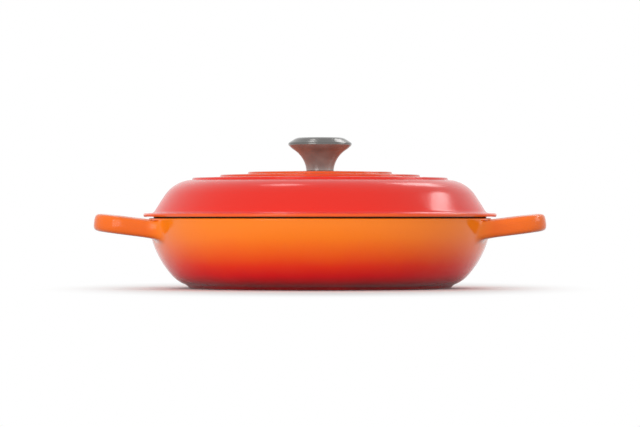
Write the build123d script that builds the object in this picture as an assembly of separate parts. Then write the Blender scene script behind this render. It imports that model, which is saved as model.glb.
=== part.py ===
from build123d import *
import math
import os

# Braiser: a shallow enamelled cast-iron pan with two loop handles, and a domed lid
# with three round steps on top and a metal knob.
# The pan stands on z = 0 with its axis on Z, and the handles point along X.
# Lengths are in millimetres and angles in degrees.

# Pan
pan_rim_radius = 150.8
pan_height = 61.5
pan_wall = 3.0
pan_floor = 3.6

# Side of the bowl, two arcs from its foot up to the rim
bowl_flare = 33.1
side_foot_angle = 15.0
side_upright_rise = 0.5
side_low_share = 0.138
side_inner_facets = (2, 5)

# Foot under the bowl, a low step with sloping sides
foot_height = 3.0
foot_spread = 2.9
foot_bevel = 0.6

# Rim, thickened inwards to carry the lid
rim_land_width = 7.6
rim_bead_depth = 4.0
rim_bead_taper = 5.0
rim_bevel = 0.9

# Loop handles, cast in one with the bowl
handle_reach = 46.7
handle_root_drop = 1.2
handle_rise_angle = 7.2
handle_thickness = 15.6
handle_width = 117.0
handle_narrowing = 6.0
handle_arm_width = 16.5
handle_bar_width = 17.0
handle_bow = 2.4
handle_outer_corner = 25.0
handle_inner_corner = 11.0
handle_edge_round = 4.8
handle_root_depth = 24.0
handle_root_blend = 5.0

# Flange of the lid, the land that rests on the rim and the skirt that locates it
lid_overhang = 4.5
lid_flange_width = 8.9
lid_flange_thickness = 3.0
lid_flange_rise = 0.3
lid_flange_bevel = 0.9
lid_flange_gap = 1.2
lid_land_inset = 4.5
lid_skirt_play = 3.0
lid_skirt_depth = 3.0
lid_skirt_thickness = 2.6
lid_skirt_bevel = 0.7

# Dome of the lid, two arcs from the flange up to the first step
lid_wall = 2.6
dome_width = 33.8
dome_rise = 29.1
dome_foot_angle = 120.2
dome_top_angle = 177.8
dome_low_share = 0.38
dome_inner_facets = (1, 4)

# Round steps on the crown of the lid
step_radius_shares = (1.0, 0.783, 0.565)
step_height = 1.9
step_slant = 0.6
step_bevel = 0.6
tread_rise = 0.7
centre_radius = 29.0
centre_rise = 0.6

# Seat of the knob, and the pad below it inside the lid
knob_seat_margin = 1.9
knob_seat_rise = 0.4
lid_centre_thickness = 3.4
lid_pad_thickness = 4.8
lid_pad_margin = 8.0

# Knob, with a flared stem and a brim that is bevelled above
knob_height = 29.4
knob_foot_radius = 12.1
knob_foot_bevel = 0.8
knob_foot_angle = 84.4
knob_brim_spread = 15.8
knob_brim_height = 22.8
knob_brim_angle = 51.0
knob_stem_share = 0.77
knob_top_radius = 18.7
knob_bevel_share = 0.15
knob_stem_facets = (3, 3)
knob_rounding_facets = (2, 2)

# Fasteners inside the lid
screw_radius = 3.0
screw_grip = 10.0
screw_tip_room = 2.0
screw_tip_bevel = 0.6
screw_head_radius = 6.0
screw_head_height = 3.6
screw_head_bevel = 1.4
screw_cross_length = 6.0
screw_cross_width = 1.3
screw_cross_depth = 2.2
thread_clearance = 0.05
thread_mouth = 0.6
lid_hole_clearance = 0.5
flat_washer_radius = 7.0
flat_washer_thickness = 1.2
flat_washer_clearance = 0.2
lock_washer_radius = 5.6
lock_washer_thickness = 1.6
lock_washer_clearance = 0.1
lock_washer_slit = 1.0
lock_washer_slit_angle = 25.0

# Past a face that a cut goes through
overrun = 6.0

# Directions in a section, from the one that points away from the axis
upwards = 90.0
inwards = 180.0


def direction(angle):
    """The unit vector at this angle from the radial direction of a section."""
    return Vector(1, 0).rotate(Axis.Z, angle)


def arc_pair(start, start_angle, end, end_angle, first_share):
    """The ends and the joint of two arcs that meet smoothly, each with its direction."""
    start_way = direction(start_angle)
    end_way = direction(end_angle)
    ratio = first_share / (1 - first_share)
    across = end - start
    lean = across.dot(start_way * ratio + end_way)
    spread = ratio * (1 - start_way.dot(end_way)) * 2
    leg = (math.sqrt(lean ** 2 + spread * across.dot(across)) - lean) / spread
    first = start + start_way * leg * ratio
    second = end - end_way * leg
    joint = (first + second * ratio) / (1 + ratio)
    return [(start, start_way), (joint, (second - first).normalized()), (end, end_way)]


def beside(pair, depth):
    """The pair of arcs that runs at this distance to the left of another pair."""
    return [(point + way.rotate(Axis.Z, upwards) * depth, way) for point, way in pair]


def arcs(pair):
    """The two arcs themselves."""
    (start, start_way), (joint, joint_way), (end, _) = pair
    return [TangentArc(start, joint, tangent=start_way), TangentArc(joint, end, tangent=joint_way)]


def facets(pair, counts):
    """Points along the two arcs, for a surface of plain cones where the curve is hidden or small."""
    points = []
    for arc, count in zip(arcs(pair), counts):
        points += [arc @ (step / count) for step in range(count)]
    return points + [pair[-1][0]]


def block(low, high):
    """A plain rectangle of a section, between two corners."""
    corners = [low, (high[0], low[1]), high, (low[0], high[1])]
    return make_face(Polyline(*corners, close=True))


def bevel_corner(section, corner, size):
    """The section with the corner nearest to this point bevelled."""
    nearest = section.vertices().sort_by_distance(Vector(*corner))[0]
    return chamfer(nearest, size)


def turned(section):
    """The solid that a section sweeps round the Z axis."""
    return revolve(Plane.XZ * section, Axis.Z)


def bowl_side():
    """Outer side of the bowl, from its foot to just over the rim, where it is upright."""
    foot = Vector(pan_rim_radius - bowl_flare, foot_height)
    top = Vector(pan_rim_radius, pan_height + side_upright_rise)
    return arc_pair(foot, side_foot_angle, top, upwards, side_low_share)


def bowl_blank():
    """The bowl before it is hollowed, with its side carried up past the rim."""
    side = bowl_side()
    foot = side[0][0]
    base = (foot.X - foot_spread, 0)
    top = pan_height + overrun * 2
    section = make_face([
        Polyline((0, top), (0, 0), base, foot),
        *arcs(side),
        Polyline(side[-1][0], (pan_rim_radius, top), (0, top)),
    ])
    return turned(bevel_corner(section, base, foot_bevel))


def bowl_hollow():
    """The space inside the bowl, under the thickened rim."""
    side = beside(bowl_side(), pan_wall)
    foot = side[0][0]
    rim = side[-1][0]
    floor_radius = foot.X - (foot.Y - pan_floor) / math.tan(math.radians(side_foot_angle))
    section = make_face(Polyline(
        (0, rim.Y), (0, pan_floor), (floor_radius, pan_floor), *facets(side, side_inner_facets),
        close=True))
    land_inner = pan_rim_radius - rim_land_width
    bead_low = pan_height - rim_bead_depth
    bead_foot = bead_low - rim_bead_taper * rim_land_width / (rim_land_width - pan_wall)
    top = pan_height + overrun
    bead = make_face(Polyline(
        (land_inner, top), (land_inner, bead_low), (pan_rim_radius, bead_foot),
        (pan_rim_radius, top), close=True))
    return turned(section - bead)


def above_rim():
    """All that is cut off above the rim and its mouth, which bevels both its edges."""
    land_inner = pan_rim_radius - rim_land_width
    low = pan_height - rim_bevel
    top = pan_height + overrun * 3
    outer = pan_rim_radius + rim_bevel
    return turned(make_face(Polyline(
        (0, low - rim_bevel), (land_inner, low - rim_bevel), (land_inner, low),
        (land_inner + rim_bevel, pan_height), (pan_rim_radius - rim_bevel, pan_height),
        (pan_rim_radius, low), (outer, low), (outer, top), (0, top), close=True)))


def loop_outline(half_width, reach, bow, corner_radius):
    """A loop as seen from above: two straight arms and a gently bowed bar."""
    tip_half = half_width - handle_narrowing / 2
    corner_x = reach - bow
    outline = [
        Polyline((corner_x, -tip_half), (-handle_root_depth, -half_width),
                 (-handle_root_depth, half_width), (corner_x, tip_half)),
        ThreePointArc((corner_x, tip_half), (reach, 0), (corner_x, -tip_half)),
    ]
    section = make_face(outline)
    for side in (1, -1):
        nearest = section.vertices().sort_by_distance(Vector(corner_x, side * tip_half))[0]
        section = fillet(nearest, corner_radius)
    return section


def raised(shape):
    """Tilts a shape up from level and puts it at the root of the handle."""
    return Pos(pan_rim_radius, 0, pan_height - handle_root_drop) * Rot(0, -handle_rise_angle, 0) * shape


def handle():
    """The loop on the +X side, with all its long edges rounded."""
    outer = loop_outline(handle_width / 2, handle_reach, handle_bow, handle_outer_corner)
    inner = loop_outline(handle_width / 2 - handle_arm_width, handle_reach - handle_bar_width,
                         handle_bow, handle_inner_corner)
    loop = extrude(outer - inner, -handle_thickness)
    long_edges = loop.edges().filter_by(Axis.Z, reverse=True).filter_by(Axis.Y, reverse=True)
    return raised(fillet(long_edges, handle_edge_round))


def above_handle():
    """The space over the handle, outside the rim, where no root blend may rise."""
    depth = handle_root_depth + handle_reach
    over = Pos(handle_reach - depth / 2, 0, overrun) * Box(depth, handle_width, overrun * 2)
    return raised(over) - Cylinder(pan_rim_radius, pan_height * 4)


def pan():
    """Bowl and both handles in one casting."""
    loop = handle()
    blank = bowl_blank()
    loops = [loop, mirror(loop, Plane.YZ)]
    body = blank + loops
    roots = new_edges(blank, *loops, combined=body)
    body = fillet(roots, handle_root_blend)
    over = above_handle()
    body = body - [over, mirror(over, Plane.YZ)]
    return body - above_rim() - bowl_hollow()


def dome_side():
    """Outer side of the lid, from the flange to the first step."""
    foot_radius = pan_rim_radius + lid_overhang - lid_flange_width
    foot = Vector(foot_radius, pan_height + lid_flange_gap + lid_flange_thickness + lid_flange_rise)
    top = foot + Vector(-dome_width, dome_rise)
    return arc_pair(foot, dome_foot_angle, top, dome_top_angle, dome_low_share)


def step_feet():
    """The foot of each step's riser, from the outer step to the inner one."""
    crown = dome_side()[-1][0]
    rise = step_height + tread_rise
    return [Vector(crown.X * share, crown.Y + rise * count)
            for count, share in enumerate(step_radius_shares)]


def knob_seat():
    """Outer edge of the flat seat that the knob stands on."""
    last_edge = step_feet()[-1].Y + step_height
    return Vector(knob_foot_radius + knob_seat_margin, last_edge + centre_rise + knob_seat_rise)


def lid_outside():
    """Section of the lid's outer form, filled down to the rim of the pan."""
    flange_radius = pan_rim_radius + lid_overhang
    flange_low = pan_height + lid_flange_gap
    flange_high = flange_low + lid_flange_thickness
    land_radius = pan_rim_radius - lid_land_inset
    dome = dome_side()
    seat = knob_seat()
    rim = [(0, pan_height), (land_radius, pan_height), (land_radius, flange_low),
           (flange_radius, flange_low), (flange_radius, flange_high), dome[0][0]]
    edges = [foot + Vector(-step_slant, step_height) for foot in step_feet()]
    top = [dome[-1][0], edges[0]]
    for foot, edge in zip(step_feet()[1:], edges[1:]):
        top += [foot, edge]
    top += [(centre_radius, seat.Y - knob_seat_rise), seat, (0, seat.Y), (0, pan_height)]
    section = make_face([Polyline(*rim), *arcs(dome), Polyline(*top)])
    for edge in edges:
        section = bevel_corner(section, edge, step_bevel)
    for height in (flange_low, flange_high):
        section = bevel_corner(section, (flange_radius, height), lid_flange_bevel)
    return section


def lid_inside():
    """Section of the space under the dome, with the pad at its centre left solid."""
    dome = beside(dome_side(), lid_wall)
    low = dome[0][0].Y
    seat = knob_seat()
    pad = Vector(flat_washer_radius + lid_pad_margin, seat.Y - lid_pad_thickness)
    under_steps = [foot - Vector(0, lid_wall) for foot in step_feet()[1:]]
    section = make_face(Polyline(
        *facets(dome, dome_inner_facets), *under_steps, (pad.X, seat.Y - lid_centre_thickness),
        pad, (0, pad.Y), (0, low), close=True))
    skirt_radius = lid_skirt_radius() - lid_skirt_thickness
    section = section & block((0, low), (skirt_radius, seat.Y))
    return section + block((0, pan_height - lid_skirt_depth - overrun), (skirt_radius, low))


def lid_skirt_radius():
    """The skirt drops inside the rim with some play."""
    return pan_rim_radius - rim_land_width - lid_skirt_play


def lid_pad_height():
    """Height of the pad's lower face, where the washers seat."""
    return knob_seat().Y - lid_pad_thickness


def lid():
    """Domed lid with its flange, locating skirt, steps and screw hole, one casting."""
    skirt_low = pan_height - lid_skirt_depth
    section = lid_outside() + block((0, skirt_low), (lid_skirt_radius(), pan_height))
    section = section - lid_inside()
    for radius in (lid_skirt_radius(), lid_skirt_radius() - lid_skirt_thickness):
        section = bevel_corner(section, (radius, skirt_low), lid_skirt_bevel)
    hole = block((0, skirt_low), (screw_radius + lid_hole_clearance, knob_seat().Y + overrun))
    return turned(section - hole)


def knob():
    """Turned knob: narrow foot, flared stem and bevelled top, with a tapped blind hole."""
    low = knob_seat().Y
    foot = Vector(knob_foot_radius, low)
    brim = foot + Vector(knob_brim_spread, knob_brim_height)
    top = Vector(0, low + knob_height)
    bevel = Vector(knob_top_radius, top.Y)
    stem = arc_pair(foot, knob_foot_angle, brim, knob_brim_angle, knob_stem_share)
    rounding = arc_pair(brim, upwards, bevel, inwards, knob_bevel_share)
    section = make_face(Polyline(
        top, (0, low), *facets(stem, knob_stem_facets), *facets(rounding, knob_rounding_facets)[1:],
        close=True))
    section = bevel_corner(section, foot, knob_foot_bevel)
    hole_radius = screw_radius + thread_clearance
    hole_top = low + screw_grip + screw_tip_room
    hole = make_face(Polyline(
        (0, low), (hole_radius + thread_mouth, low), (hole_radius, low + thread_mouth),
        (hole_radius, hole_top), (0, hole_top), close=True))
    return turned(section - hole)


def washer_stack():
    """Heights of the flat washer's, lock washer's and screw head's upper faces."""
    flat = lid_pad_height()
    lock = flat - flat_washer_thickness
    return flat, lock, lock - lock_washer_thickness


def flat_washer():
    """Plain washer that bears on the pad inside the lid."""
    top = washer_stack()[0]
    ring = Circle(flat_washer_radius) - Circle(screw_radius + flat_washer_clearance)
    return Pos(0, 0, top - flat_washer_thickness) * extrude(ring, flat_washer_thickness)


def lock_washer():
    """Spring washer, flattened by the screw, with its slanted slit."""
    top = washer_stack()[1]
    ring = Circle(lock_washer_radius) - Circle(screw_radius + lock_washer_clearance)
    body = extrude(ring, lock_washer_thickness / 2, both=True)
    slit = Box(lock_washer_radius, lock_washer_slit, lock_washer_thickness * 3)
    slit = Pos(lock_washer_radius / 2) * Rot(lock_washer_slit_angle, 0, 0) * slit
    return Pos(0, 0, top - lock_washer_thickness / 2) * (body - slit)


def knob_screw():
    """Cross-slotted pan-head screw that comes up through the lid into the knob."""
    head_top = washer_stack()[2]
    head_low = head_top - screw_head_height
    tip = knob_seat().Y + screw_grip
    section = make_face(Polyline(
        (0, head_low), (screw_head_radius - screw_head_bevel, head_low),
        (screw_head_radius, head_low + screw_head_bevel), (screw_head_radius, head_top),
        (screw_radius, head_top), (screw_radius, tip - screw_tip_bevel),
        (screw_radius - screw_tip_bevel, tip), (0, tip), close=True))
    arm = Box(screw_cross_length, screw_cross_width, screw_cross_depth * 2)
    cross = arm + Rot(0, 0, 90) * arm
    return turned(section) - Pos(0, 0, head_low) * cross


def main():
    """Writes each piece to its own file."""
    os.makedirs("parts", exist_ok=True)
    pieces = {
        "pan": pan(),
        "lid": lid(),
        "knob": knob(),
        "knob_screw": knob_screw(),
        "flat_washer": flat_washer(),
        "lock_washer": lock_washer(),
    }
    for name, shape in pieces.items():
        export_step(shape, f"parts/{name}.step")


main()
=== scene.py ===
import math

import bmesh
import bpy
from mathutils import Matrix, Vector


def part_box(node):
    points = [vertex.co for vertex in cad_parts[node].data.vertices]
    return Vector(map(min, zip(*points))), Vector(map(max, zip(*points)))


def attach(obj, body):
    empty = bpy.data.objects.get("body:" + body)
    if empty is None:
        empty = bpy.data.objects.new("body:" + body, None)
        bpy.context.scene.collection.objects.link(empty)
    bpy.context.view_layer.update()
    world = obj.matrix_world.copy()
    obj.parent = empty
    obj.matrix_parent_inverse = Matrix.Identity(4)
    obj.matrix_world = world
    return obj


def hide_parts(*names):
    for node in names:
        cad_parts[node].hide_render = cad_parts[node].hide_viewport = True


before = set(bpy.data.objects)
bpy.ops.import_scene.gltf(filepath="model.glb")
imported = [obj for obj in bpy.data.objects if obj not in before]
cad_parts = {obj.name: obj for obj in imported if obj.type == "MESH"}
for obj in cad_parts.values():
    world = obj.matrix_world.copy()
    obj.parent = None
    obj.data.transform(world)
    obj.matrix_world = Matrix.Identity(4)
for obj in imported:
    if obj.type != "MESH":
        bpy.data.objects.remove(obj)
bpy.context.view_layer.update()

bl_info = {
    "name": "Braiser",
    "version": (1, 0, 0),
    "blender": (4, 5, 0),
    "location": "3D View > Sidebar > Braiser",
    "description": "Builds an enamelled cast-iron braiser, its lid, its knob and a white studio round it",
    "category": "Add Mesh",
}

MM = 0.001
LID_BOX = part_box("lid")
KNOB_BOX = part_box("knob")

# Studio: strength of the room's light on surfaces, the floor's tone as seen and as it lights the
# object, and where it fades to white, in metres from the middle after its place is multiplied by
# FLOOR_SHAPE
ROOM_LIGHT = 0.6
FLOOR_SEEN = "#EAEAEA"
FLOOR_COLOUR = "#727272"
FLOOR_FADE = (0.2, 0.46)
FLOOR_SHAPE = (1.8, 1.0, 0.0)
FLOOR_HALF = 12.0
FLOOR_DROP = 0.2 * MM
UNDERSIDE_GAP = 2 * MM
UNDERSIDE_GLOW = 0.5
WHITE = "#FFFFFF"

# Lamps: name, place, aim, width, height, watts and what they show on
LAMPS = (
    ("above", (0, 0.5, 2.4), (0, 0, 0), 2.4, 1.6, 5, "surfaces"),
    ("key", (-1.3, -2.1, 0.4), (0, 0, 0.05), 1.4, 0.8, 46, "surfaces"),
    ("fill", (2.2, -0.8, 0.45), (0, 0, 0.05), 1.0, 0.8, 20, "surfaces"),
    ("behind", (0, 2.0, 0.95), (0, 0, 0.05), 1.6, 0.6, 24, "surfaces"),
    ("left_box", (-1.05, -1.95, 0.5), (0, 0, 0.5), 1.0, 2.8, 16, "reflections"),
    ("right_box", (1.58, 0.62, 1.32), (0, 0, 0.08), 0.9, 0.28, 6, "reflections"),
    ("right_card", (2.0, 0, 0.85), (0, 0, 0.1), 0.8, 0.9, 5, "reflections"),
    ("knob_left", (-0.38, 0.82, 2.1), (0, 0, 0.13), 0.34, 0.36, 1.8, "reflections"),
    ("knob_right", (0.74, 1.49, 1.57), (0, 0, 0.13), 0.4, 0.6, 2.8, "reflections"),
)
CAMERA_PLACE = (0, -3.6, 0.0656)
CAMERA_LENS = 230
CAMERA_SENSOR = 36

# Finishes of a piece, as its material numbers
OUTSIDE, BLACK, INSIDE = 0, 1, 2

# Shape, in millimetres and degrees
LAND_WIDTH = 7.6
PAN_WALL = 3.0
PAN_FLOOR = 3.6
FOOT_INSET = 33.1
FOOT_RISE = 3.0
BOWL_FOOT_ANGLE = 16.2
BOWL_LOW_SHARE = 0.18
BOWL_POINTS = (12, 60)

# Rings of the bowl's cage: (radius, height) under it, heights up its outer side and at its arms,
# heights down its inside, and (radius, height) over its floor
UNDER_RINGS = (
    (30, 0), (70, 0), (100, 0), (111.5, 0), (114.2, 0.03), (115.2, 0.5), (117.1, 2.4), (118.2, 3.15))
OUTER_HEIGHTS = (3.9, 5.6, 8.2, 11.4, 15.4, 20.2, 25.6, 31.2, 36.6)
ARM_HEIGHTS = (42.4, 51.2, 59.3)
INNER_HEIGHTS = (46.5, 40.5, 34.5, 29.0, 24.0, 19.5, 15.5, 12.0, 9.0, 6.6, 5.0)
FLOOR_RINGS = ((116.5, 3.9), (111, PAN_FLOOR), (95, PAN_FLOOR), (60, PAN_FLOOR), (30, PAN_FLOOR))

# Columns where each arm meets the bowl, as angles from the middle of its loop, and how many gaps
# between columns lie inside a loop and between the two loops
ARM_ANGLES = (15.1, 19.1, 23.2)
COLUMNS_IN_LOOP, COLUMNS_BETWEEN = 8, 36

LOOP_OUTER_HALF, LOOP_INNER_HALF = 58.5, 42.0
LOOP_OUTER_CORNER, LOOP_INNER_CORNER = 25, 11
LOOP_OUTER_STATIONS, LOOP_INNER_STATIONS = (-4.5, 4.0, 12.5), (1.5, 7.0, 12.5)
LOOP_BAR_WIDTH = 17
LOOP_ROOT_DEPTH = 24
LOOP_NARROWING = 3.0
LOOP_BOW = 2.4
LOOP_TILT = 7.2
LOOP_DROP = 1.2
CORNER_STEPS, BAR_STEPS = 7, 3

FLANGE_LOW, FLANGE_HIGH = 1.2, 4.2
FLANGE_ROUND = 1.1
FLANGE_UNDER_WIDTH = 6.0
LAND_INSET = 4.5
DOME_INSET, DOME_FOOT = 8.9, 4.5
DOME_WIDTH, DOME_RISE = 33.8, 29.1
DOME_FOOT_ANGLE, DOME_TOP_ANGLE = 120.2, 177.8
DOME_LOW_SHARE = 0.38
DOME_POINTS = (14, 20)
BLEND_BEFORE, BLEND_AFTER = 2.4, 2.6
LID_SEGMENTS = 256
LID_WALL = 2.6
STEP_SLANT, TREAD_RISE = 0.6, 0.7
STEP_SHARES = (1.0, 0.783, 0.565)
SKIRT_PLAY, SKIRT_DEPTH = 3.0, 3.0
PAD_THICKNESS = 4.8
SCREW_HOLE = 3.5

KNOB_FOOT = 12.1
BRIM_OUT, BRIM_UP = 15.8, 22.8
STEM_FOOT_ANGLE, STEM_BRIM_ANGLE, STEM_LOW_SHARE = 84.4, 51, 0.77
STEM_POINTS = (16, 6)
CROWN_DISH, CROWN_FLAT = 0.1, 18.7
BLIND_HOLE, BLIND_DEPTH = 3.05, 12
KNOB_SEGMENTS = 128

# The knob is satin up to this height above its seat, and polished above it
CROWN_LINE = 23
# Painted shade: the crown's steel is painted a dark grey that stands in for dark surroundings in its
# reflection; the screw and washers take the same grey.
SHADED_STEEL_TONE = "#6E6C6A"
CROWN_METAL = 0.88


# Sections are lists of points (radius, height) in millimetres, run along the surface.

def way(angle):
    """Unit vector at an angle, in degrees, from the radial direction of a section."""
    return Vector((math.cos(math.radians(angle)), math.sin(math.radians(angle))))


def arc_points(start, start_way, end, count):
    """Points along the arc that leaves start in one direction and reaches end, without its end."""
    chord = end - start
    turn = 2 * math.atan2(start_way.x * chord.y - start_way.y * chord.x, start_way.dot(chord))
    if abs(turn) < 1e-6:
        return [start + chord * (step / count) for step in range(count)]
    side = Vector((-start_way.y, start_way.x))
    radius = chord.length / (2 * math.sin(turn / 2))
    centre = start + side * radius
    points = []
    for step in range(count):
        angle = turn * step / count
        points.append(centre - side * radius * math.cos(angle) + start_way * radius * math.sin(angle))
    return points


def arc_pair(start, start_angle, end, end_angle, first_share, counts):
    """Points along two arcs that meet smoothly, from start to end."""
    start_way, end_way = way(start_angle), way(end_angle)
    ratio = first_share / (1 - first_share)
    across = end - start
    lean = across.dot(start_way * ratio + end_way)
    spread = ratio * (1 - start_way.dot(end_way)) * 2
    leg = (math.sqrt(lean ** 2 + spread * across.dot(across)) - lean) / spread
    first = start + start_way * leg * ratio
    second = end - end_way * leg
    joint = (first + second * ratio) / (1 + ratio)
    joint_way = (second - first).normalized()
    return [*arc_points(start, start_way, joint, counts[0]),
            *arc_points(joint, joint_way, end, counts[1]), end]


def beside(points, depth):
    """The line that runs at this distance to the left of a line of points."""
    moved = []
    for place, point in enumerate(points):
        before = points[max(place - 1, 0)]
        after = points[min(place + 1, len(points) - 1)]
        along = (after - before).normalized()
        moved.append(point + Vector((-along.y, along.x)) * depth)
    return moved


def rounded(corners, steps=4, hold=0.5):
    """A line through corners (radius, height, rounding), each rounding drawn as a small arc.

    A point is held close before and after each rounding, so that the flats beside it stay flat."""
    points = []
    for place, (x, y, rounding) in enumerate(corners):
        corner = Vector((x, y))
        if rounding == 0 or place in (0, len(corners) - 1):
            points.append(corner)
            continue
        back = Vector(corners[place - 1][:2]) - corner
        ahead = Vector(corners[place + 1][:2]) - corner
        half = back.angle(ahead) / 2
        reach = min(rounding / math.tan(half), back.length * 0.48, ahead.length * 0.48)
        start = corner + back.normalized() * reach
        end = corner + ahead.normalized() * reach
        margin = min(hold, reach)
        if back.length > (reach + margin) * 2:
            points.append(start + back.normalized() * margin)
        points += arc_points(start, -back.normalized(), end, steps)
        points.append(end)
        if ahead.length > (reach + margin) * 2:
            points.append(end + ahead.normalized() * margin)
    return points


# Node trees

def add_node(tree, kind, links=None, values=None, **settings):
    """Adds one node, sets it and its sockets, and links its inputs."""
    made = tree.nodes.new(kind)
    for name, value in settings.items():
        setattr(made, name, value)
    for name, value in (values or {}).items():
        made.inputs[name].default_value = value
    for name, source in (links or {}).items():
        tree.links.new(source, made.inputs[name])
    return made


def linear(hex_colour):
    """An sRGB hex colour as linear red, green, blue and a full alpha."""
    parts = [int(hex_colour[place:place + 2], 16) / 255 for place in (1, 3, 5)]
    return *(c / 12.92 if c <= 0.04045 else ((c + 0.055) / 1.055) ** 2.4 for c in parts), 1.0


def ramp(tree, factor, stops):
    """A colour ramp with stops (position, hex colour)."""
    made = add_node(tree, "ShaderNodeValToRGB", {"Fac": factor})
    elements = made.color_ramp.elements
    while len(elements) < len(stops):
        elements.new(0.5)
    for element, (position, colour) in zip(elements, stops):
        element.position = position
        element.color = linear(colour)
    return made.outputs["Color"]


def new_material(name):
    """An empty material with its tree and its output node."""
    made = bpy.data.materials.new(name)
    made.use_nodes = True
    tree = made.node_tree
    tree.nodes.clear()
    return made, tree, add_node(tree, "ShaderNodeOutputMaterial")


def place_of(tree):
    """The piece's own coordinates and their height and distance from the axis, in metres."""
    coordinates = add_node(tree, "ShaderNodeTexCoord").outputs["Object"]
    apart = add_node(tree, "ShaderNodeSeparateXYZ", {"Vector": coordinates})
    flat = add_node(tree, "ShaderNodeCombineXYZ", {"X": apart.outputs["X"], "Y": apart.outputs["Y"]})
    radius = add_node(tree, "ShaderNodeVectorMath", {"Vector": flat.outputs["Vector"]}, operation="LENGTH")
    return coordinates, apart.outputs["Z"], radius.outputs["Value"]


def noise(tree, coordinates, size, detail=2.0):
    """Noise whose lumps are about this many metres across."""
    made = add_node(tree, "ShaderNodeTexNoise", {"Vector": coordinates},
                    {"Scale": 1 / size, "Detail": detail})
    return made.outputs["Fac"]


def remap(tree, value, low, high, to_low=0.0, to_high=1.0, **settings):
    """A value moved from one range to another and held inside it."""
    made = add_node(tree, "ShaderNodeMapRange", {"Value": value},
                    {"From Min": low, "From Max": high, "To Min": to_low, "To Max": to_high}, **settings)
    return made.outputs["Result"]


def sums(tree, operation, first, second):
    """One sum on two values, each a socket or a number."""
    made = add_node(tree, "ShaderNodeMath", operation=operation)
    for place, value in enumerate((first, second)):
        if isinstance(value, (int, float)):
            made.inputs[place].default_value = value
        else:
            tree.links.new(value, made.inputs[place])
    return made.outputs["Value"]


def mixed(tree, factor, first, second):
    """Two colours mixed by a factor, each a socket or a hex colour."""
    made = add_node(tree, "ShaderNodeMix", data_type="RGBA")
    for name, value in (("Factor", factor), ("A", first), ("B", second)):
        socket = made.inputs[name]
        if isinstance(value, str):
            value = linear(value)
        if isinstance(value, (float, tuple)):
            socket.default_value = value
        else:
            tree.links.new(value, socket)
    return made.outputs["Result"]


def either(tree, factor, first, second):
    """The first value where the factor is 0 and the second where it is 1, each a socket or a number."""
    made = add_node(tree, "ShaderNodeMix", {"Factor": factor}, data_type="FLOAT")
    for socket, value in ((made.inputs["A"], first), (made.inputs["B"], second)):
        if isinstance(value, (int, float)):
            socket.default_value = value
        else:
            tree.links.new(value, socket)
    return made.outputs["Result"]


def shader_mix(tree, factor, first, second):
    """Two shaders mixed by a factor."""
    made = add_node(tree, "ShaderNodeMixShader", {"Fac": factor})
    tree.links.new(first, made.inputs[1])
    tree.links.new(second, made.inputs[2])
    return made.outputs["Shader"]


def background_seen(tree, path):
    """1 for the camera, for a reflection and through glass, which all see the white background."""
    reflected = sums(tree, "MAXIMUM", path["Is Glossy Ray"], path["Is Transmission Ray"])
    return sums(tree, "MAXIMUM", path["Is Camera Ray"], reflected)


def enamel_shader(tree, output, colour, bump, roughness):
    """Glass enamel: a coloured body under a hard clear gloss."""
    shader = add_node(tree, "ShaderNodeBsdfPrincipled",
                      {"Base Color": colour, "Normal": bump, "Roughness": roughness},
                      {"IOR": 1.5, "Specular IOR Level": 0.35})
    tree.links.new(shader.outputs["BSDF"], output.inputs["Surface"])


def orange_peel(tree, coordinates, wave, depth):
    """The slow ripple of fired enamel, as a bump."""
    waves = noise(tree, coordinates, wave, 1.5)
    made = add_node(tree, "ShaderNodeBump", {"Height": waves}, {"Strength": 0.25, "Distance": depth})
    return made.outputs["Normal"]


# Sprayed vitreous enamel, fired glossy: the colour fades from orange at the rim through red to
# a deep red at the foot, a little cloudy where the two sprays overlap. The deepest red at the foot is
# partly the enamel's own colour and partly painted shade.
def pan_enamel():
    colours = bpy.context.scene.braiser_colours
    made, tree, output = new_material("sprayed_vitreous_enamel_flame")
    coordinates, height, radius = place_of(tree)
    clouds = noise(tree, coordinates, 30 * MM, 3.0)
    grain = noise(tree, coordinates, 1.2 * MM, 2.0)
    drift = sums(tree, "MULTIPLY", sums(tree, "SUBTRACT", clouds, 0.5), 5 * MM)
    level = remap(tree, sums(tree, "ADD", height, drift), 0, 62 * MM)
    # The lowest stops and the foot colour are partly painted shade on the foot, which faces the floor.
    fade = ramp(tree, level, (
        (0.0, colours.foot), (0.09, "#B40004"), (0.2, "#E60006"), (0.33, "#F42E04"),
        (0.5, "#F85A04"), (0.72, "#F87604"), (1.0, colours.rim)))
    # Outward of the rim the loops turn a redder, darker orange: partly their own enamel and partly painted
    # shade.
    handles = mixed(tree, remap(tree, radius, 150 * MM, 162 * MM, 0, 0.6), fade, "#E05206")
    speckled = mixed(tree, remap(tree, grain, 0.62, 0.72, 0, 0.12), handles, "#C8401C")
    bump = orange_peel(tree, coordinates, 9 * MM, 0.25 * MM)
    gloss = remap(tree, clouds, 0.3, 0.7, 0.10, 0.16)
    enamel_shader(tree, output, speckled, bump, gloss)
    return made


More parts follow.
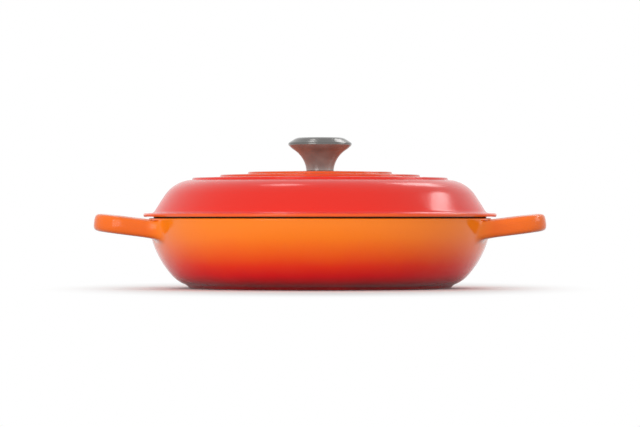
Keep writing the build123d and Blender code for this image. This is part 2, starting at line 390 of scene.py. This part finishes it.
# The lid's spray: red over the dome and orange towards the middle over the steps. The flange's edge
# is orange where the enamel thins, and partly a painted reflection of the pan's orange rim below it.
def lid_enamel():
    colours = bpy.context.scene.braiser_colours
    made, tree, output = new_material("sprayed_vitreous_enamel_red")
    coordinates, height, radius = place_of(tree)
    clouds = noise(tree, coordinates, 34 * MM, 3.0)
    grain = noise(tree, coordinates, 1.2 * MM, 2.0)
    drift = sums(tree, "MULTIPLY", sums(tree, "SUBTRACT", clouds, 0.5), 10 * MM)
    reach = remap(tree, sums(tree, "ADD", radius, drift), 20 * MM, 156 * MM)
    # The last stops paint the flange's edge orange, partly as a painted reflection of the pan's rim.
    fade = ramp(tree, reach, (
        (0.0, "#D65412"), (0.42, "#D04708"), (0.62, "#D42006"), (0.75, colours.lid),
        (0.95, colours.lid), (0.985, "#E4360A"), (1.0, "#EA4E0A")))
    # The flange's lower edge is painted orange: partly its own enamel and partly a painted reflection of the
    # pan's rim.
    edge = remap(tree, height, 65.2 * MM, 63.6 * MM)
    flange_edge_and_reflection = mixed(tree, edge, fade, "#E85C20")
    speckled = mixed(tree, remap(tree, grain, 0.62, 0.72, 0, 0.12), flange_edge_and_reflection, "#B02016")
    bump = orange_peel(tree, coordinates, 9 * MM, 0.25 * MM)
    gloss = remap(tree, clouds, 0.3, 0.7, 0.15, 0.21)
    enamel_shader(tree, output, speckled, bump, gloss)
    return made


# Sand-coloured ground enamel inside, fired less glossy, with fine dark specks.
def inner_enamel():
    made, tree, output = new_material("satin_vitreous_enamel_sand")
    coordinates = place_of(tree)[0]
    clouds = noise(tree, coordinates, 45 * MM, 3.0)
    specks = add_node(tree, "ShaderNodeTexVoronoi", {"Vector": coordinates}, {"Scale": 1 / (5 * MM)})
    pale = remap(tree, clouds, 0.3, 0.7)
    ground = mixed(tree, pale, bpy.context.scene.braiser_colours.inside, "#D8C5A2")
    dots = remap(tree, specks.outputs["Distance"], 0.1, 0.06)
    speckled = mixed(tree, sums(tree, "MULTIPLY", dots, 0.6), ground, "#7A6248")
    bump = orange_peel(tree, coordinates, 7 * MM, 0.3 * MM)
    gloss = remap(tree, clouds, 0.3, 0.7, 0.2, 0.3)
    enamel_shader(tree, output, speckled, bump, gloss)
    return made


# Matt black ground coat where the castings meet: bare-looking, a little rough and rust brown in
# places.
def rim_coat():
    made, tree, output = new_material("matt_black_ground_coat")
    coordinates = place_of(tree)[0]
    clouds = noise(tree, coordinates, 12 * MM, 4.0)
    grit = noise(tree, coordinates, 0.9 * MM, 2.0)
    colour = mixed(tree, remap(tree, clouds, 0.45, 0.75), "#231B18", "#3A2A22")
    bump = add_node(tree, "ShaderNodeBump", {"Height": grit}, {"Strength": 0.35, "Distance": 0.12 * MM})
    shader = add_node(tree, "ShaderNodeBsdfPrincipled",
                      {"Base Color": colour, "Normal": bump.outputs["Normal"],
                       "Roughness": remap(tree, clouds, 0.3, 0.7, 0.45, 0.62)})
    tree.links.new(shader.outputs["BSDF"], output.inputs["Surface"])
    return made


# Stainless steel with fine rings round its axis, which stretch reflections a little across them. The
# turned knob has a satin stem up to stem_top, hazy and warm, and a polished crown above it, clearer and
# painted a darker grey, as painted shade for dark surroundings in its reflection. The pressed screw and
# washers have no stem: one grey all over, the crown's painted-shade grey, in a faint uneven gloss.
def steel(name, ring, depth, gloss, stem_gloss=None, stem_top=None):
    made, tree, output = new_material(name)
    coordinates, height, radius = place_of(tree)
    rings = add_node(tree, "ShaderNodeCombineXYZ", {"X": radius, "Z": height})
    lines = noise(tree, rings.outputs["Vector"], ring, 2.0)
    haze = noise(tree, coordinates, 9 * MM, 3.0)
    bump = add_node(tree, "ShaderNodeBump", {"Height": lines}, {"Strength": 0.1, "Distance": depth})
    turned = add_node(tree, "ShaderNodeTangent", direction_type="RADIAL", axis="Z")
    links = {"Normal": bump.outputs["Normal"], "Tangent": turned.outputs["Tangent"]}
    values = {"Anisotropic": 0.5, "Anisotropic Rotation": 0.25}
    # The darker steel grey used below is painted shade.
    if stem_top is None:
        values.update({"Base Color": linear(SHADED_STEEL_TONE), "Metallic": CROWN_METAL})
    else:
        crown = remap(tree, height, stem_top - 0.5 * MM, stem_top + 0.5 * MM)
        satin = mixed(tree, remap(tree, haze, 0.35, 0.65), bpy.context.scene.braiser_colours.steel, "#9C9793")
        links["Base Color"] = mixed(tree, crown, satin, SHADED_STEEL_TONE)
        links["Metallic"] = remap(tree, crown, 0, 1, 0.55, CROWN_METAL)
        gloss = remap(tree, crown, 0, 1, stem_gloss, gloss)
    links["Roughness"] = sums(tree, "ADD", gloss, remap(tree, haze, 0.3, 0.7, -0.02, 0.02))
    shader = add_node(tree, "ShaderNodeBsdfPrincipled", links, values)
    tree.links.new(shader.outputs["BSDF"], output.inputs["Surface"])
    return made


# Pieces that are turned on an axis

def spun_tree(materials):
    """Geometry nodes that turn the section held by the object, one material for each of its finishes."""
    tree = bpy.data.node_groups.new("turned_section", "GeometryNodeTree")
    face = tree.interface
    face.new_socket("Geometry", in_out="INPUT", socket_type="NodeSocketGeometry")
    face.new_socket("Segments", in_out="INPUT", socket_type="NodeSocketInt")
    face.new_socket("Merge Distance", in_out="INPUT", socket_type="NodeSocketFloat")
    face.new_socket("Geometry", in_out="OUTPUT", socket_type="NodeSocketGeometry")
    given = add_node(tree, "NodeGroupInput").outputs
    section, segments, merge = given["Geometry"], given["Segments"], given["Merge Distance"]
    size = add_node(tree, "GeometryNodeAttributeDomainSize", {"Geometry": section}, component="MESH")
    points = size.outputs["Point Count"]
    columns = sums(tree, "ADD", segments, 1)
    grid = add_node(tree, "GeometryNodeMeshGrid", {"Vertices X": columns, "Vertices Y": points})
    index = add_node(tree, "GeometryNodeInputIndex").outputs["Index"]
    row = sums(tree, "MODULO", index, points)
    column = sums(tree, "FLOOR", sums(tree, "DIVIDE", sums(tree, "ADD", index, 0.5), points), 0.0)
    turn = sums(tree, "MULTIPLY", sums(tree, "DIVIDE", column, segments), math.tau)
    where = add_node(tree, "GeometryNodeInputPosition").outputs["Position"]
    point = add_node(tree, "GeometryNodeSampleIndex", {"Geometry": section, "Index": row},
                     data_type="FLOAT_VECTOR")
    tree.links.new(where, point.inputs["Value"])
    turned = add_node(tree, "ShaderNodeVectorRotate", {"Vector": point.outputs["Value"], "Angle": turn},
                      rotation_type="Z_AXIS")
    moved = add_node(tree, "GeometryNodeSetPosition",
                     {"Geometry": grid.outputs["Mesh"], "Position": turned.outputs["Vector"]})
    joined = add_node(tree, "GeometryNodeMergeByDistance",
                      {"Geometry": moved.outputs["Geometry"], "Distance": merge})
    last = add_node(tree, "GeometryNodeRealizeInstances", {"Geometry": joined.outputs["Geometry"]})
    finish_name = add_node(tree, "GeometryNodeInputNamedAttribute", values={"Name": "finish"},
                           data_type="INT")
    across = sums(tree, "MODULO", index, sums(tree, "SUBTRACT", points, 1))
    finish = add_node(tree, "GeometryNodeSampleIndex", {"Geometry": section, "Index": across},
                      data_type="INT")
    tree.links.new(finish_name.outputs["Attribute"], finish.inputs["Value"])
    for number, material in enumerate(materials):
        chosen = add_node(tree, "FunctionNodeCompare", data_type="INT", operation="EQUAL")
        ints = [socket for socket in chosen.inputs if socket.type == "INT"]
        tree.links.new(finish.outputs["Value"], ints[0])
        ints[1].default_value = number
        last = add_node(tree, "GeometryNodeSetMaterial",
                        {"Geometry": last.outputs["Geometry"], "Selection": chosen.outputs["Result"]},
                        {"Material": material})
    add_node(tree, "NodeGroupOutput", {"Geometry": last.outputs["Geometry"]})
    return tree


def plain_object(name, mesh):
    """An object at the origin with this mesh."""
    made = bpy.data.objects.new(name, mesh)
    bpy.context.scene.collection.objects.link(made)
    return made


def finished_mesh(holder):
    """The object's mesh with its modifiers applied, which are then removed."""
    bpy.context.view_layer.update()
    graph = bpy.context.evaluated_depsgraph_get()
    made = bpy.data.meshes.new_from_object(
        holder.evaluated_get(graph), preserve_all_data_layers=True, depsgraph=graph)
    holder.modifiers.clear()
    return made


def spun_piece(name, section, finishes, materials, segments):
    """A piece turned round the Z axis. finishes has one number for each stretch of the section."""
    mesh = bpy.data.meshes.new(name + "_section")
    mesh.from_pydata([(point.x * MM, 0, point.y * MM) for point in section],
                     [(place, place + 1) for place in range(len(section) - 1)], [])
    marks = mesh.attributes.new("finish", "INT", "POINT")
    marks.data.foreach_set("value", list(finishes) + [0])
    holder = plain_object(name + "_section", mesh)
    modifier = holder.modifiers.new("turned", "NODES")
    tree = spun_tree(materials)
    keys = {item.name: item.identifier for item in tree.interface.items_tree if item.in_out == "INPUT"}
    modifier.node_group = tree
    modifier[keys["Segments"]] = segments
    modifier[keys["Merge Distance"]] = 0.001 * MM
    made = finished_mesh(holder)
    bpy.data.objects.remove(holder)
    made.name = name
    piece = plain_object(name, made)
    smooth_outward(made)
    return piece


def smooth_outward(mesh):
    """Points every face of a closed shell outwards and shades it smooth."""
    work = bmesh.new()
    work.from_mesh(mesh)
    bmesh.ops.recalc_face_normals(work, faces=work.faces)
    for face in work.faces:
        face.smooth = True
    work.to_mesh(mesh)
    work.free()


def dome_points(sizes):
    """Outer side of the lid, from the flange up to the first step."""
    foot = Vector((sizes.lid_radius / MM - DOME_INSET, sizes.pan_height / MM + DOME_FOOT))
    top = foot + Vector((-DOME_WIDTH, DOME_RISE))
    return arc_pair(foot, DOME_FOOT_ANGLE, top, DOME_TOP_ANGLE, DOME_LOW_SHARE, DOME_POINTS)


def lid_section(sizes):
    """Closed section of the lid with the finish of each stretch."""
    lid_radius = sizes.lid_radius / MM
    rim = sizes.pan_height / MM
    low, high = rim + FLANGE_LOW, rim + FLANGE_HIGH
    dome = dome_points(sizes)
    crown = dome[-1]
    step = sizes.step_height / MM
    outside = [(lid_radius - FLANGE_UNDER_WIDTH, low, 0), (lid_radius, low, FLANGE_ROUND),
               (lid_radius, high, FLANGE_ROUND)]
    flange = rounded([*outside, (dome[0].x, dome[0].y, 0)], 4)[:-1]
    foot = dome[0]
    lead = foot - flange[-1]
    soft = foot - lead.normalized() * BLEND_BEFORE
    dome_start = [point for point in dome if (point - foot).length > BLEND_AFTER]
    blend = arc_points(soft, lead.normalized(), dome_start[0], 5)
    steps = [(crown.x + 4, crown.y - 0.2, 0)]
    feet = [Vector((crown.x * share, crown.y + (step + TREAD_RISE) * count))
            for count, share in enumerate(STEP_SHARES)]
    for riser in feet:
        steps += [(riser.x, riser.y, 0.7), (riser.x - STEP_SLANT, riser.y + step, 0.8)]
    seat_height = feet[-1].y + step + 1.0
    steps += [(29, seat_height - 0.4, 3.0), (14, seat_height, 0)]
    top = rounded(steps, 5)[1:]
    shared = [point for point in dome_start if point.x > crown.x + 3]
    last = [(14, seat_height, 0), (SCREW_HOLE + 0.4, seat_height, 0.4), (SCREW_HOLE, seat_height - 0.4, 0),
            (SCREW_HOLE, seat_height - PAD_THICKNESS, 0)]
    outer = flange + blend + shared + top[:-1] + rounded(last, 2)
    inner_dome = [Vector((point.x, point.y)) for point in reversed(beside(dome, LID_WALL))]
    pad = [(SCREW_HOLE, seat_height - PAD_THICKNESS, 0), (15, seat_height - PAD_THICKNESS, 0.7),
           (16.5, seat_height - 3.4, 1.2),
           (feet[2].x, feet[2].y - LID_WALL, 4), (feet[1].x, feet[1].y - LID_WALL, 4),
           (inner_dome[0].x - 6, inner_dome[0].y + 0.3, 0)]
    skirt_outer = rim_mouth(sizes) - SKIRT_PLAY
    skirt_inner = skirt_outer - LID_WALL
    skirt_low = rim - SKIRT_DEPTH
    side = [point for point in inner_dome if point.x < skirt_inner - 1.5]
    skirt = [(side[-1].x, side[-1].y, 0), (skirt_inner, side[-1].y - 4.5, 3.0), (skirt_inner, skirt_low, 0.9),
             (skirt_outer, skirt_low, 0.9), (skirt_outer, rim, 0.6)]
    inner = rounded(pad, 4)[1:] + side[:-1] + rounded(skirt, 4)
    land_edge = rim_radius(sizes) - LAND_INSET
    land = rounded([(skirt_outer, rim, 0), (land_edge, rim, 0.4), (land_edge, low, 0.4),
                    (lid_radius - FLANGE_UNDER_WIDTH, low, 0)], 3)
    section = outer + inner + land[1:]
    finishes = [OUTSIDE] * (len(outer) - 1) + [INSIDE] * len(inner) + [BLACK] * (len(land) - 1)
    return section, finishes[:len(section) - 1]


def rim_radius(sizes):
    """Radius of the pan's rim in millimetres."""
    return sizes.rim_radius / MM


def rim_mouth(sizes):
    """Radius of the pan's mouth in millimetres."""
    return rim_radius(sizes) - LAND_WIDTH


def knob_section(sizes):
    """Section of the knob from its top to the end of its blind hole."""
    low = KNOB_BOX[0].z / MM
    top = low + sizes.knob_height / MM
    foot = Vector((KNOB_FOOT, low))
    brim = foot + Vector((BRIM_OUT, BRIM_UP))
    stem = arc_pair(foot + Vector((0, 0.8)), STEM_FOOT_ANGLE, brim, STEM_BRIM_ANGLE, STEM_LOW_SHARE,
                    STEM_POINTS)
    crown = [Vector((radius, top - CROWN_DISH * (radius / CROWN_FLAT) ** 2)) for radius in (0, 3, 7, 11, 14)]
    bevel = rounded([(14, top - 0.06, 0), (20.4, top - 0.15, 13.0), (brim.x, brim.y + 1.7, 2.6),
                     (brim.x, brim.y, 1.0), (stem[-2].x, stem[-2].y, 0)], 6)
    outer = crown + bevel[1:-1] + list(reversed(stem[:-1]))
    under = rounded([(12.2, low + 0.8, 0), (KNOB_FOOT, low, 0.5), (3.65, low, 0.1),
                     (BLIND_HOLE, low + 0.6, 0.1), (BLIND_HOLE, low + BLIND_DEPTH, 0.2),
                     (0, low + BLIND_DEPTH, 0)], 3)
    return outer + under[1:]


# The pan is one casting: a bowl of rings with a gap for each arm, and a tube that runs round each loop.

def corner_centre(half_low, half_tip, reach, bow, radius, depth):
    """Where the rounding between an arm and the bar is centred, and its first and last direction."""
    tip_x = reach - bow
    bar = (half_tip ** 2 + bow ** 2) / (2 * bow)
    bar_x = reach - bar
    along = Vector((tip_x + depth, half_tip - half_low)).normalized()
    outward = Vector((-along.y, along.x))
    start = Vector((-depth, half_low)) - outward * radius
    offset = start - Vector((bar_x, 0))
    across = offset.dot(along)
    distance = -across + math.sqrt(across ** 2 - offset.dot(offset) + (bar - radius) ** 2)
    centre = start + along * distance
    first = math.atan2(outward.y, outward.x)
    last = math.atan2(centre.y, centre.x - bar_x)
    return centre, first, last, bar, bar_x


def loop_side(half_low, reach, radius, arm_stations):
    """One side line of a loop from above, from the root of one arm round to the other."""
    half_tip = half_low - LOOP_NARROWING
    centre, first, last, bar, bar_x = corner_centre(
        half_low, half_tip, reach, LOOP_BOW, radius, LOOP_ROOT_DEPTH)
    slope = (half_tip - half_low) / (reach - LOOP_BOW + LOOP_ROOT_DEPTH)
    half = [Vector((x, half_low + slope * (x + LOOP_ROOT_DEPTH))) for x in arm_stations]
    for step in range(CORNER_STEPS + 1):
        angle = first + (last - first) * step / CORNER_STEPS
        half.append(centre + Vector((math.cos(angle), math.sin(angle))) * radius)
    for step in range(1, BAR_STEPS + 1):
        angle = last * (1 - step / BAR_STEPS)
        half.append(Vector((bar_x + bar * math.cos(angle), bar * math.sin(angle))))
    other = [Vector((point.x, -point.y)) for point in reversed(half[:-1])]
    return half + other


def loop_rings(sizes, side):
    """Rings of eight points round the loop on one side of the pan, in millimetres."""
    reach = sizes.handle_reach / MM
    outer = loop_side(LOOP_OUTER_HALF, reach, LOOP_OUTER_CORNER, LOOP_OUTER_STATIONS)
    inner = loop_side(LOOP_INNER_HALF, reach - LOOP_BAR_WIDTH, LOOP_INNER_CORNER, LOOP_INNER_STATIONS)
    tilt = math.radians(LOOP_TILT)
    thick = sizes.handle_thickness / MM
    rings = []
    for out, into in zip(outer, inner):
        middle = (out + into) / 2
        places = [(out, 0), (middle, 0), (into, 0), (into, -thick / 2), (into, -thick), (middle, -thick),
                  (out, -thick), (out, -thick / 2)]
        ring = []
        for point, drop in places:
            x = rim_radius(sizes) + point.x * math.cos(tilt) - drop * math.sin(tilt)
            z = sizes.pan_height / MM - LOOP_DROP + point.x * math.sin(tilt) + drop * math.cos(tilt)
            ring.append(Vector((x * side, point.y * side, z)))
        rings.append(ring)
    return rings


def column_at(angles, degrees):
    """The column nearest to this angle."""
    wanted = math.radians(degrees)
    return min(range(len(angles)), key=lambda place: abs(math.remainder(angles[place] - wanted, math.tau)))


def arm_starts(angles):
    """The first column of each of the four arms."""
    return [column_at(angles, base + first) for base in (0, 180) for first in (ARM_ANGLES[0], -ARM_ANGLES[2])]


def column_angles():
    """Angles of the bowl's columns, with each arm across two of their gaps."""
    arm_low, arm_middle, arm_high = ARM_ANGLES
    angles = [arm_low - 2 * arm_low * step / COLUMNS_IN_LOOP for step in range(COLUMNS_IN_LOOP, 0, -1)]
    angles += ARM_ANGLES
    angles += [arm_high + (180 - 2 * arm_high) * step / COLUMNS_BETWEEN for step in range(1, COLUMNS_BETWEEN)]
    angles += [180 - arm_high, 180 - arm_middle]
    half = len(angles)
    angles += [angle + 180 for angle in angles[:half]]
    return [math.radians(angle) for angle in angles]


def bowl_rows(sizes):
    """Rings (radius, height) of the bowl from under its middle, over the rim, to its floor."""
    rim = sizes.pan_height / MM
    radius = rim_radius(sizes)
    foot = Vector((radius - FOOT_INSET, FOOT_RISE))
    top = Vector((radius, rim + 2.1))
    side = arc_pair(foot, BOWL_FOOT_ANGLE, top, 90, BOWL_LOW_SHARE, BOWL_POINTS)
    outer = [Vector(p) for p in UNDER_RINGS]
    outer += [on_line(side, height) for height in OUTER_HEIGHTS]
    arm_row = len(outer)
    outer += [on_line(side, height) for height in ARM_HEIGHTS]
    outer += [Vector(p) for p in (
        (radius - 0.02, rim - 1.0), (radius - 0.2, rim - 0.3), (radius - 0.9, rim), (radius - 2.4, rim))]
    land = len(outer)
    outer += [Vector(p) for p in (
        (radius - 6.2, rim), (radius - 7.2, rim - 0.25), (radius - LAND_WIDTH, rim - 1.1))]
    inner_start = len(outer)
    outer += [Vector(p) for p in (
        (radius - LAND_WIDTH, rim - 3.2), (radius - 6.9, rim - 5.2), (radius - 4.4, rim - 9.6))]
    inside = beside(side, PAN_WALL)
    outer += [on_line(inside, height) for height in INNER_HEIGHTS]
    outer += [Vector(p) for p in FLOOR_RINGS]
    return outer, arm_row, land, inner_start


def on_line(points, height):
    """The point of a rising line at this height."""
    for low, high in zip(points, points[1:]):
        if low.y <= height <= high.y:
            share = (height - low.y) / (high.y - low.y)
            return low + (high - low) * share
    return points[0]


def smooth_twice(piece):
    """Subdivides a cage into its smooth surface, as a plain mesh."""
    smoothing = piece.modifiers.new("smooth", "SUBSURF")
    smoothing.levels = smoothing.render_levels = 2
    made = finished_mesh(piece)
    made.name = piece.name
    piece.data = made


def pan_mesh(sizes):
    """The casting's cage, closed, with the finish of each face."""
    rows, arm_row, land, inner_start = bowl_rows(sizes)
    angles = column_angles()
    count = len(angles)
    # A subdivided ring shrinks, so the cage stands out by as much
    swell = 6 / (4 + 2 * math.cos(math.tau / count))
    work = bmesh.new()
    cage = []
    for row in rows:
        out = row.x * swell
        cage.append([work.verts.new((out * math.cos(a) * MM, out * math.sin(a) * MM, row.y * MM))
                     for a in angles])
    gaps = {(arm_row + down, (start + across) % count)
            for start in arm_starts(angles) for down in (0, 1) for across in (0, 1)}
    for place in range(len(rows) - 1):
        finish = BLACK if land <= place + 1 <= inner_start else (OUTSIDE if place < land else INSIDE)
        for column in range(count):
            if (place, column) in gaps:
                continue
            after = (column + 1) % count
            row, above = cage[place], cage[place + 1]
            face = work.faces.new((row[column], row[after], above[after], above[column]))
            face.material_index = finish
    work.faces.new(reversed(cage[0])).material_index = OUTSIDE
    work.faces.new(cage[-1]).material_index = INSIDE
    add_loops(work, cage, sizes, arm_row, angles)
    bmesh.ops.recalc_face_normals(work, faces=work.faces)
    for face in work.faces:
        face.smooth = True
    mesh = bpy.data.meshes.new("pan_casting")
    work.to_mesh(mesh)
    work.free()
    return mesh


def arm_rim(cage, arm_row, columns):
    """The eight bowl points round one arm's gap, in the order of a ring of the loop."""
    out, middle, into = columns
    low, half, high = arm_row, arm_row + 1, arm_row + 2
    return [cage[high][out], cage[high][middle], cage[high][into], cage[half][into],
            cage[low][into], cage[low][middle], cage[low][out], cage[half][out]]


def add_loops(work, cage, sizes, arm_row, angles):
    """Joins each loop's rings to each other and to the gaps in the bowl."""
    for side, base in ((1, 0), (-1, 180)):
        first = arm_rim(cage, arm_row, [column_at(angles, base + a) for a in reversed(ARM_ANGLES)])
        last = arm_rim(cage, arm_row, [column_at(angles, base - a) for a in reversed(ARM_ANGLES)])
        rings = [[work.verts.new(point * MM) for point in ring] for ring in loop_rings(sizes, side)]
        rings = [first, *rings, last]
        for ring, after in zip(rings, rings[1:]):
            for place in range(8):
                beyond = (place + 1) % 8
                face = work.faces.new((ring[place], ring[beyond], after[beyond], after[place]))
                face.material_index = OUTSIDE


# What a user may change

class BraiserSizes(bpy.types.PropertyGroup):
    rim_radius: bpy.props.FloatProperty(
        name="Rim radius", description="Outer radius of the pan's rim",
        default=150.8 * MM, min=0.05, unit="LENGTH")
    pan_height: bpy.props.FloatProperty(
        name="Pan height", description="Height of the pan's rim", default=61.5 * MM, min=0.02, unit="LENGTH")
    handle_reach: bpy.props.FloatProperty(
        name="Handle reach", description="How far each loop stands out from the rim",
        default=46.7 * MM, min=0.02, unit="LENGTH")
    handle_thickness: bpy.props.FloatProperty(
        name="Handle thickness", description="Thickness of the loops",
        default=15.6 * MM, min=0.004, unit="LENGTH")
    lid_radius: bpy.props.FloatProperty(
        name="Lid radius", description="Outer radius of the lid's flange",
        default=LID_BOX[1].x, min=0.05, unit="LENGTH")
    step_height: bpy.props.FloatProperty(
        name="Step height", description="Height of each round step on the lid",
        default=1.9 * MM, min=0, unit="LENGTH")
    knob_height: bpy.props.FloatProperty(
        name="Knob height", description="Height of the knob above its seat",
        default=KNOB_BOX[1].z - KNOB_BOX[0].z, min=0.005, unit="LENGTH")


class BraiserColours(bpy.types.PropertyGroup):
    rim: bpy.props.StringProperty(
        name="Rim", description="Enamel colour at the pan's rim and handles, sRGB hex", default="#F88212")
    # The foot colour is partly painted shade.
    foot: bpy.props.StringProperty(
        name="Foot", description="Enamel colour at the pan's foot, sRGB hex", default="#6C0002")
    lid: bpy.props.StringProperty(
        name="Lid", description="Enamel colour of the lid's dome, sRGB hex", default="#D8200E")
    inside: bpy.props.StringProperty(
        name="Inside", description="Enamel colour inside, sRGB hex", default="#CDB791")
    steel: bpy.props.StringProperty(
        name="Stem steel", description="Colour of the knob's satin stem, sRGB hex", default="#8F8A87")


class BRAISER_OT_pan(bpy.types.Operator):
    """Build the pan's casting with its two loop handles"""
    bl_idname = "braiser.pan"
    bl_label = "Pan"

    def execute(self, context):
        piece = plain_object("pan_casting", pan_mesh(context.scene.braiser_sizes))
        for material in (pan_enamel(), rim_coat(), inner_enamel()):
            piece.data.materials.append(material)
        smooth_twice(piece)
        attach(piece, "pan")
        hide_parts("pan")
        return {"FINISHED"}


class BRAISER_OT_lid(bpy.types.Operator):
    """Build the domed lid with its flange, steps and skirt"""
    bl_idname = "braiser.lid"
    bl_label = "Lid"

    def execute(self, context):
        section, finishes = lid_section(context.scene.braiser_sizes)
        materials = (lid_enamel(), bpy.data.materials["matt_black_ground_coat"],
                     bpy.data.materials["satin_vitreous_enamel_sand"])
        piece = spun_piece("lid_casting", section, finishes, materials, LID_SEGMENTS)
        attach(piece, "lid")
        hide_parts("lid")
        return {"FINISHED"}


class BRAISER_OT_knob(bpy.types.Operator):
    """Build the turned steel knob"""
    bl_idname = "braiser.knob"
    bl_label = "Knob"

    def execute(self, context):
        section = knob_section(context.scene.braiser_sizes)
        stem_top = KNOB_BOX[0].z + CROWN_LINE * MM
        polished = steel("turned_polished_stainless", 0.8 * MM, 0.002 * MM, 0.2, 0.3, stem_top)
        piece = spun_piece("knob_turned", section, [OUTSIDE] * (len(section) - 1), (polished,), KNOB_SEGMENTS)
        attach(piece, "lid")
        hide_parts("knob")
        return {"FINISHED"}


class BRAISER_OT_fasteners(bpy.types.Operator):
    """Finish the screw and washers that hold the knob"""
    bl_idname = "braiser.fasteners"
    bl_label = "Fasteners"

    def execute(self, context):
        plain = steel("pressed_plain_stainless", 0.7 * MM, 0.03 * MM, 0.26)
        for name in ("knob_screw", "flat_washer", "lock_washer"):
            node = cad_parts[name]
            node.data.materials.clear()
            node.data.materials.append(plain)
        return {"FINISHED"}


class BRAISER_OT_studio(bpy.types.Operator):
    """Set up the white floor, the soft lights and the camera"""
    bl_idname = "braiser.studio"
    bl_label = "Studio"

    def execute(self, context):
        white_world(context.scene)
        white_floor()
        for lamp in LAMPS:
            soft_light(*lamp)
        camera = bpy.data.cameras.new("camera")
        camera.lens = CAMERA_LENS
        camera.sensor_width = CAMERA_SENSOR
        holder = plain_object("camera", camera)
        holder.location = CAMERA_PLACE
        holder.rotation_euler = (math.radians(90), 0, 0)
        context.scene.camera = holder
        context.scene.view_settings.view_transform = "Standard"
        return {"FINISHED"}


def white_world(scene):
    """White to the camera, in reflections and through glass, and an even light on surfaces."""
    world = bpy.data.worlds.new("studio")
    scene.world = world
    world.use_nodes = True
    tree = world.node_tree
    tree.nodes.clear()
    path = add_node(tree, "ShaderNodeLightPath").outputs
    strength = either(tree, background_seen(tree, path), ROOM_LIGHT, 1.0)
    light = add_node(tree, "ShaderNodeBackground", {"Strength": strength}, {"Color": linear(WHITE)})
    add_node(tree, "ShaderNodeOutputWorld", {"Surface": light.outputs["Background"]})


def white_floor():
    """A wide white floor that keeps the shadow near the object and ends in plain white."""
    mesh = bpy.data.meshes.new("floor")
    corners = [(x * FLOOR_HALF, y * FLOOR_HALF, -FLOOR_DROP) for x, y in ((-1, -1), (1, -1), (1, 1), (-1, 1))]
    mesh.from_pydata(corners, [], [(0, 1, 2, 3)])
    floor = plain_object("floor", mesh)
    made, tree, output = new_material("white_studio_floor")
    coordinates = place_of(tree)[0]
    path = add_node(tree, "ShaderNodeLightPath").outputs
    squeezed = add_node(tree, "ShaderNodeVectorMath", {0: coordinates}, {1: FLOOR_SHAPE},
                        operation="MULTIPLY")
    spread = add_node(tree, "ShaderNodeVectorMath", {0: squeezed.outputs["Vector"]},
                      operation="LENGTH")
    far = remap(tree, spread.outputs["Value"], *FLOOR_FADE, interpolation_type="SMOOTHSTEP")
    seen = background_seen(tree, path)
    bright = sums(tree, "MULTIPLY", seen, far)
    tone = mixed(tree, seen, FLOOR_COLOUR, FLOOR_SEEN)
    body = add_node(tree, "ShaderNodeBsdfDiffuse", {"Color": tone})
    white = add_node(tree, "ShaderNodeEmission", values={"Color": linear(WHITE), "Strength": 1.0})
    top = shader_mix(tree, bright, body.outputs[0], white.outputs[0])
    behind = add_node(tree, "ShaderNodeNewGeometry").outputs["Backfacing"]
    # Light on the underside, which rests just above the floor and would be black from below
    near = sums(tree, "LESS_THAN", path["Ray Length"], UNDERSIDE_GAP)
    held = sums(tree, "MULTIPLY", near, path["Is Diffuse Ray"])
    glow = add_node(tree, "ShaderNodeEmission", values={"Color": linear(WHITE), "Strength": UNDERSIDE_GLOW})
    top = shader_mix(tree, held, top, glow.outputs[0])
    clear = add_node(tree, "ShaderNodeBsdfTransparent")
    both = shader_mix(tree, sums(tree, "MULTIPLY", behind, path["Is Camera Ray"]), top, clear.outputs[0])
    tree.links.new(both, output.inputs["Surface"])
    mesh.materials.append(made)


def soft_light(name, place, aim, width, height, power, shows_on):
    """One soft box that faces a point and shows on surfaces or in reflections."""
    light = bpy.data.lights.new(name, "AREA")
    light.shape = "RECTANGLE"
    light.size, light.size_y = width, height
    light.energy = power
    holder = plain_object(name, light)
    holder.location = place
    holder.rotation_euler = (Vector(aim) - Vector(place)).to_track_quat("-Z", "Y").to_euler()
    holder.visible_camera = False
    holder.visible_diffuse = shows_on == "surfaces"
    holder.visible_glossy = shows_on == "reflections"


class BRAISER_PT_panel(bpy.types.Panel):
    """Lists the braiser's pieces, sizes and colours"""
    bl_idname = "BRAISER_PT_panel"
    bl_label = "Braiser"
    bl_space_type = "VIEW_3D"
    bl_region_type = "UI"
    bl_category = "Braiser"

    def draw(self, context):
        layout = self.layout
        for group in (context.scene.braiser_sizes, context.scene.braiser_colours):
            for name in group.bl_rna.properties.keys():
                if name not in ("rna_type", "name"):
                    layout.prop(group, name)
        for operator in OPERATORS:
            layout.operator(operator.bl_idname)


OPERATORS = (BRAISER_OT_pan, BRAISER_OT_lid, BRAISER_OT_knob, BRAISER_OT_fasteners, BRAISER_OT_studio)
CLASSES = (BraiserSizes, BraiserColours, *OPERATORS, BRAISER_PT_panel)


def register():
    for made in CLASSES:
        bpy.utils.register_class(made)
    bpy.types.Scene.braiser_sizes = bpy.props.PointerProperty(type=BraiserSizes)
    bpy.types.Scene.braiser_colours = bpy.props.PointerProperty(type=BraiserColours)


def unregister():
    del bpy.types.Scene.braiser_colours
    del bpy.types.Scene.braiser_sizes
    for made in reversed(CLASSES):
        bpy.utils.unregister_class(made)


def main():
    register()
    bpy.ops.braiser.pan()
    bpy.ops.braiser.lid()
    bpy.ops.braiser.knob()
    bpy.ops.braiser.fasteners()
    bpy.ops.braiser.studio()


if __name__ == "__main__":
    main()
